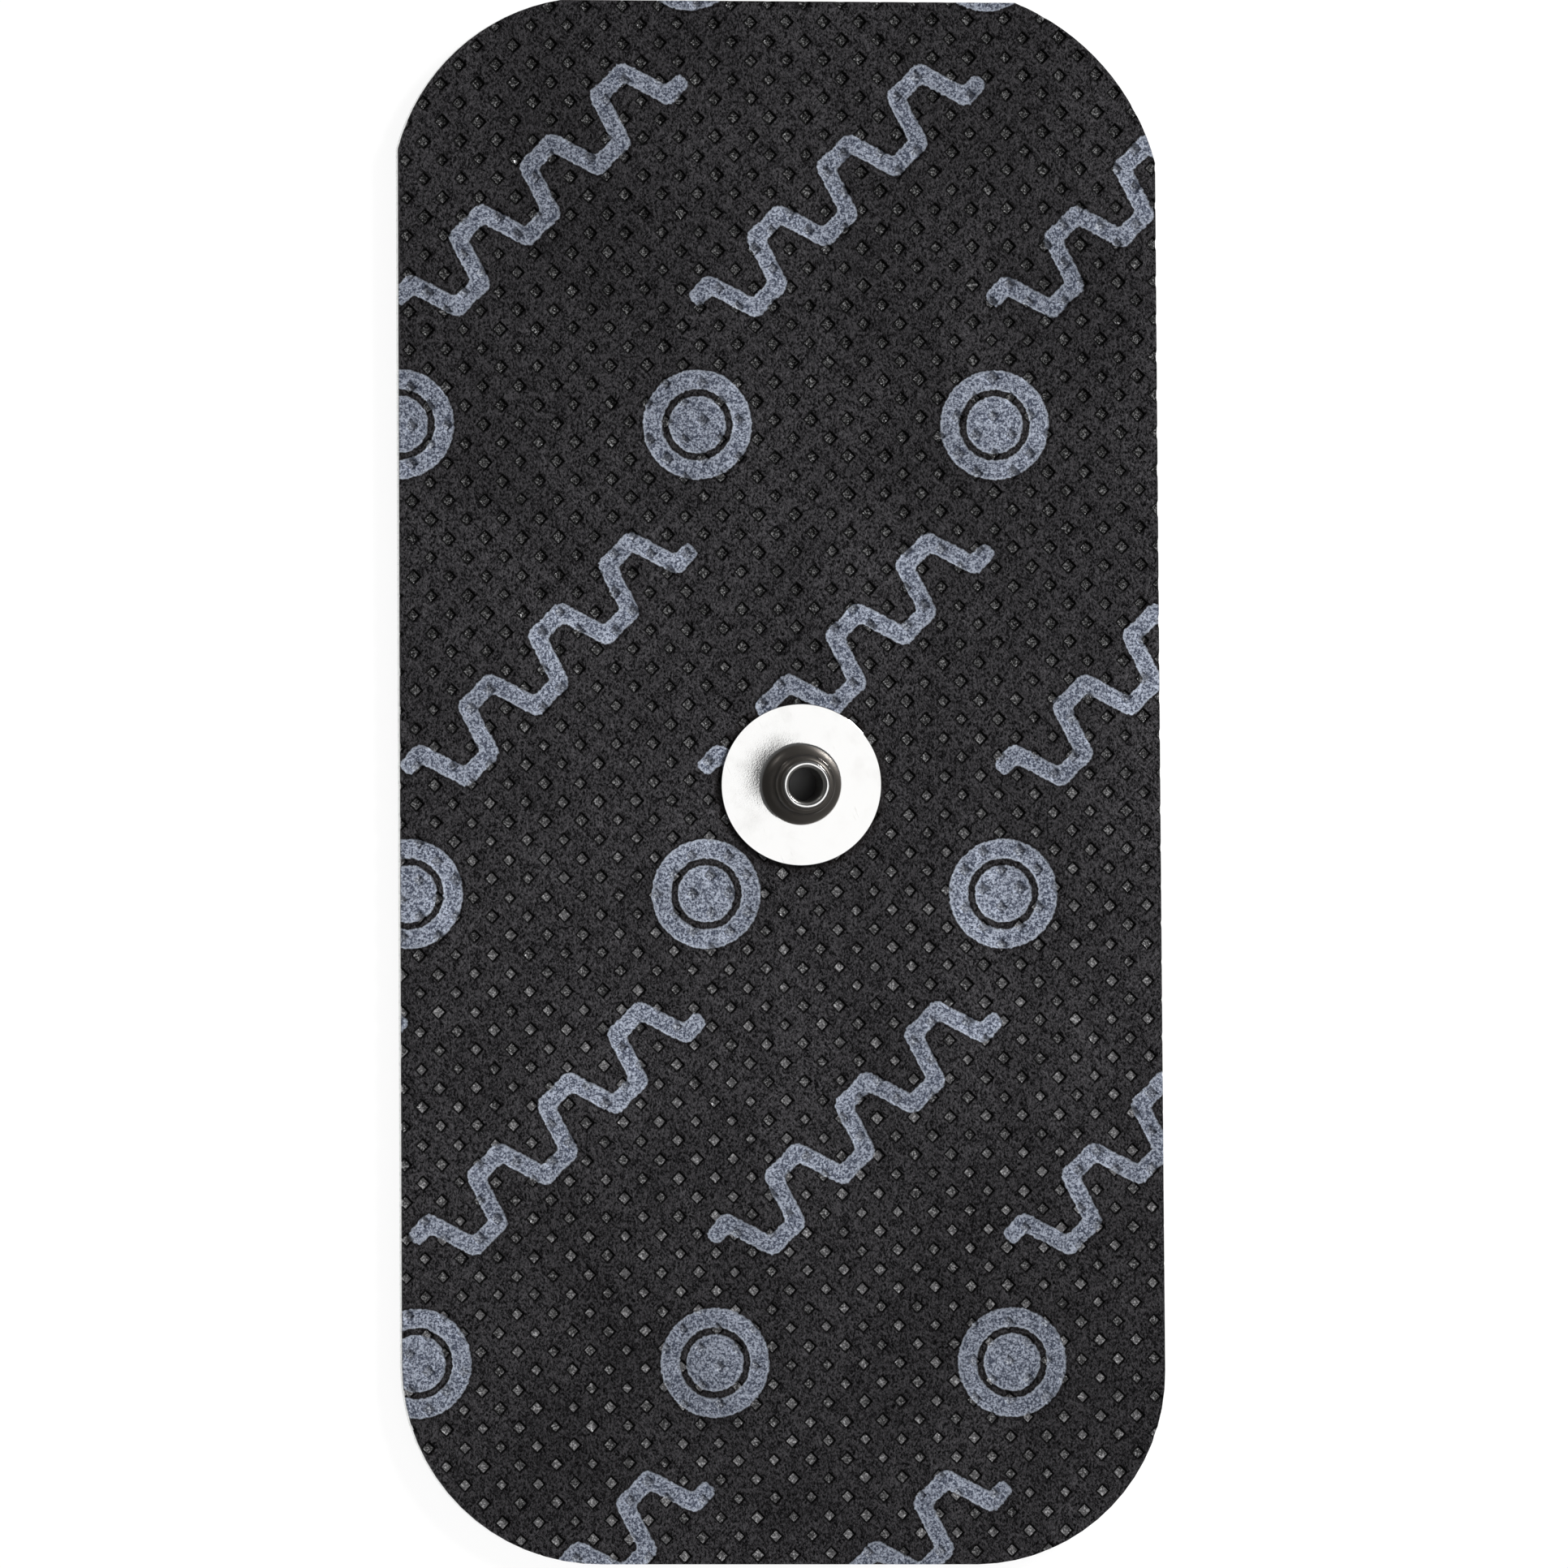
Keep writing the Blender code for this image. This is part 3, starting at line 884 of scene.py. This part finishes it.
def make_table():
    shape = bmesh.new()
    level = Matrix.Translation((0, 0, TABLE_LEVEL))
    bmesh.ops.create_grid(shape, x_segments=1, y_segments=1, size=TABLE_SIZE / 2, matrix=level)
    mesh = bpy.data.meshes.new("table")
    shape.to_mesh(mesh)
    shape.free()
    table = bpy.data.objects.new("table", mesh)
    bpy.context.scene.collection.objects.link(table)
    look = Finish("white_table", {})
    rays = look.node("LightPath").outputs
    facing = look.node("NewGeometry").outputs
    kinds = ("Is Camera Ray", "Is Glossy Ray", "Is Transmission Ray")
    seen = look.most(*(Amount(look, rays[kind]) for kind in kinds))
    matt = look.node("BsdfDiffuse", (), {"Color": look.tone(seen, TABLE_MATT, TABLE_SHADE)})
    glow = look.node("Emission", (), {"Color": (1, 1, 1, 1), "Strength": seen * TABLE_GLOW})
    lit = look.node("AddShader", (), {0: matt.outputs[0], 1: glow.outputs[0]})
    clear = look.node("BsdfTransparent")
    through = look.most(Amount(look, facing["Backfacing"]), Amount(look, rays["Is Shadow Ray"]))
    mixed = look.node("MixShader", (), {0: through, 1: lit.outputs[0], 2: clear.outputs[0]})
    look.feed(look.tree.nodes["Material Output"].inputs["Surface"], mixed.outputs[0])
    mesh.materials.append(look.material)
    return table


make_table()
print(f"the table lies {-TABLE_LEVEL / MM:.1f} mm under the pad")


# %% World
WALLS = (0.92, 0.10)  # from the ceiling to the foot of the walls, as the sine of the elevation
CEILING_LIGHT, WALL_LIGHT = 0.12, 0.21
LEFT_SHARE = 0.5  # of that light on the darker, left side


def make_world():
    """A grey studio, paler low down and on the right. The camera sees plain white."""
    world = bpy.data.worlds.new("studio")
    bpy.context.scene.world = world
    world.use_nodes = True
    room = Graph(world.node_tree)
    way = room.node("SeparateXYZ", (), {0: room.node("TexCoord").outputs["Generated"]})
    height = Amount(room, way.outputs["Z"])
    walls = room.rise(height, *WALLS, CEILING_LIGHT, WALL_LIGHT)
    walls = walls * room.rise(Amount(room, way.outputs["X"]), -0.7, 0.4, LEFT_SHARE, 1.0)
    camera = Amount(room, room.node("LightPath").outputs["Is Camera Ray"])
    strength = walls * (1 - camera) + camera
    room.feed(world.node_tree.nodes["Background"].inputs["Strength"], strength)
    world.node_tree.nodes["Background"].inputs["Color"].default_value = (1, 1, 1, 1)


make_world()
print("the metal mirrors a grey room, and the camera sees white behind it")

# %% [markdown]
# ## Lamps
#
# A broad softbox hangs nearly overhead, where the flat flange mirrors it into the camera. Its
# near edge faces the upper left, so the mirror darkens first on that side. A lamp on the upper
# right models the cloth, with the pits' right walls in shade, and a fill softens it. Neither of
# these two shows in the metal, where they would be blobs. Two small ones do, as glints on the
# stud's foot and in the pits. A lamp's strength here is the brightness of its face, since that is
# what metal shows. One lamp hangs below, for a look at the gel through the table.


# %% Lamps
def add_softbox(name, azimuth, elevation, distance, sides, brightness, push=(0, 0), turn=0):
    """A soft lamp that faces the snap. Azimuth is in degrees from +X towards +Y."""
    lamp = bpy.data.lights.new(name, "AREA")
    lamp.shape = "RECTANGLE"
    lamp.size, lamp.size_y = sides
    lamp.energy = brightness * math.pi * sides[0] * sides[1]
    across, up = math.radians(azimuth), math.radians(elevation)
    way = Vector((math.cos(across) * math.cos(up), math.sin(across) * math.cos(up), math.sin(up)))
    box = bpy.data.objects.new(name, lamp)
    box.location = Vector((*snap_axis, cloth_high.z)) + way * distance + Vector((*push, 0))
    box.rotation_mode = "QUATERNION"
    spin = Quaternion((0, 0, 1), math.radians(turn))
    box.rotation_quaternion = way.to_track_quat("Z", "Y") @ spin
    box.visible_camera = False
    bpy.context.scene.collection.objects.link(box)
    print(f"{name}: {lamp.energy:.2f} W")
    return box


add_softbox("overhead_softbox", 0, 82, 0.6, (0.40, 0.40), 1.20, push=(0.12, -0.12), turn=65)
add_softbox("overhead_fill", -60, 62, 0.8, (0.5, 0.5), 1.15).visible_glossy = False
add_softbox("right_lamp", 36, 38, 1.0, (0.30, 0.30), 28.0).visible_glossy = False
add_softbox("right_glint", 40, 40, 1.0, (0.16, 0.12), 42.0)
add_softbox("left_glint", 128, 32, 1.0, (0.09, 0.09), 9.0)
add_softbox("lamp_below", 200, -70, 0.6, (0.5, 0.5), 2.4)

# %% [markdown]
# ## Camera
#
# The photograph is taken with a long lens from almost straight above, about eight degrees to the
# pad's left. The frame is square and just holds the pad's length, so the field of view comes from
# the frame's height on the cloth and the distance.

# %% Camera
CAMERA_DISTANCE = 2.0
CAMERA_TILT = math.radians(8.0)
FRAME_HEIGHT = 100.31 * MM
FRAME_MIDDLE = Vector((0.084 * MM, -0.080 * MM, cloth_high.z))

lens = bpy.data.cameras.new("camera")
lens.sensor_width = 36.0
lens.lens = lens.sensor_width * CAMERA_DISTANCE / FRAME_HEIGHT
camera = bpy.data.objects.new("camera", lens)
back = Vector((-math.sin(CAMERA_TILT), 0, math.cos(CAMERA_TILT)))
camera.location = FRAME_MIDDLE + back * CAMERA_DISTANCE
camera.rotation_euler = (0, -CAMERA_TILT, 0)
lens.clip_start, lens.clip_end = 0.1, 10.0
bpy.context.scene.collection.objects.link(camera)
bpy.context.scene.camera = camera
bpy.context.scene.view_settings.view_transform = "Standard"
print(f"lens of {lens.lens:.0f} mm at {CAMERA_DISTANCE} m")
